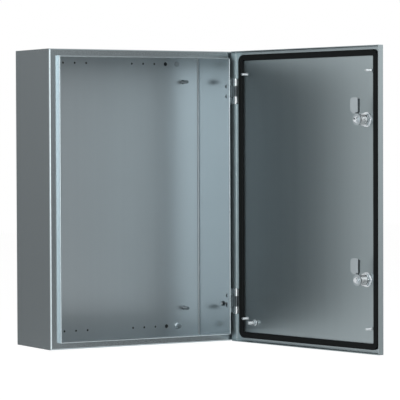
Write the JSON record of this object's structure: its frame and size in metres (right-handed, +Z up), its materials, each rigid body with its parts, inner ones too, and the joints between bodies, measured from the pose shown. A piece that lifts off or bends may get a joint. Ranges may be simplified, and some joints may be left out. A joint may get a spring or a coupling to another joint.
{
  "type": "wall enclosure",
  "caption": "Upright sheet-steel wall enclosure with a hinged sealed door standing open, quarter-turn locks and threaded studs inside.",
  "frame": {"origin": "centre of the back face, on the plane that meets the wall", "axes": "+X to the right seen from the front, +Z up, the front faces -Y"},
  "size_m": [0.5941, 0.6803, 0.7],
  "materials": {
    "stainless_body": "fine upright brushing, slightly glossy",
    "stainless_door": "fine upright brushing, glossy",
    "hinge_steel": "plain smooth steel",
    "zinc": "bright zinc plated",
    "stud_steel": "bright welded studs with rolled thread",
    "black_foam": "matt closed-cell foam",
    "black_rubber": "matt moulded rubber",
    "nickel": "satin nickel plated die casting"
  },
  "bodies": {
    "enclosure": {"body_wrap": "stainless_body", "rear_panel": "stainless_body", "plate_studs": "stud_steel", "rear_plugs": "black_rubber", "rear_bolts": "zinc", "body_earth_stud": "stud_steel", "body_earth_nut": "zinc", "hinge_body_leaf_upper": "hinge_steel", "hinge_pin_upper": "zinc", "hinge_nuts_upper": "zinc", "hinge_body_leaf_lower": "hinge_steel", "hinge_pin_lower": "zinc", "hinge_nuts_lower": "zinc"},
    "door": {"hinge_door_leaf_upper": "hinge_steel", "hinge_door_leaf_lower": "hinge_steel", "door_panel": "stainless_door", "door_gasket": "black_foam", "door_studs": "stud_steel", "door_earth_stud": "stud_steel", "door_earth_nut": "zinc", "lock_housing_upper": "nickel", "lock_seal_upper": "black_rubber", "lock_nut_upper": "zinc", "lock_housing_lower": "nickel", "lock_seal_lower": "black_rubber", "lock_nut_lower": "zinc"},
    "cam_upper": {"lock_rotor_upper": "nickel", "lock_cam_upper": "zinc", "cam_screw_upper": "zinc"},
    "cam_lower": {"lock_rotor_lower": "nickel", "lock_cam_lower": "zinc", "cam_screw_lower": "zinc"}
  },
  "joints": [
    {"name": "door_hinge", "type": "hinge", "parent": "enclosure", "child": "door", "pos_m": [0.244, -0.1935, 0], "axis": [0, 0, 1], "range_deg": [-101, 15]},
    {"name": "cam_turn_upper", "type": "hinge", "parent": "door", "child": "cam_upper", "pos_m": [0.32324, -0.62735, 0.182], "axis": [-0.9816, -0.1908, 0], "range_deg": [-90, 0]},
    {"name": "cam_turn_lower", "type": "hinge", "parent": "door", "child": "cam_lower", "pos_m": [0.32324, -0.62735, -0.182], "axis": [-0.9816, -0.1908, 0], "range_deg": [-90, 0]}
  ]
}
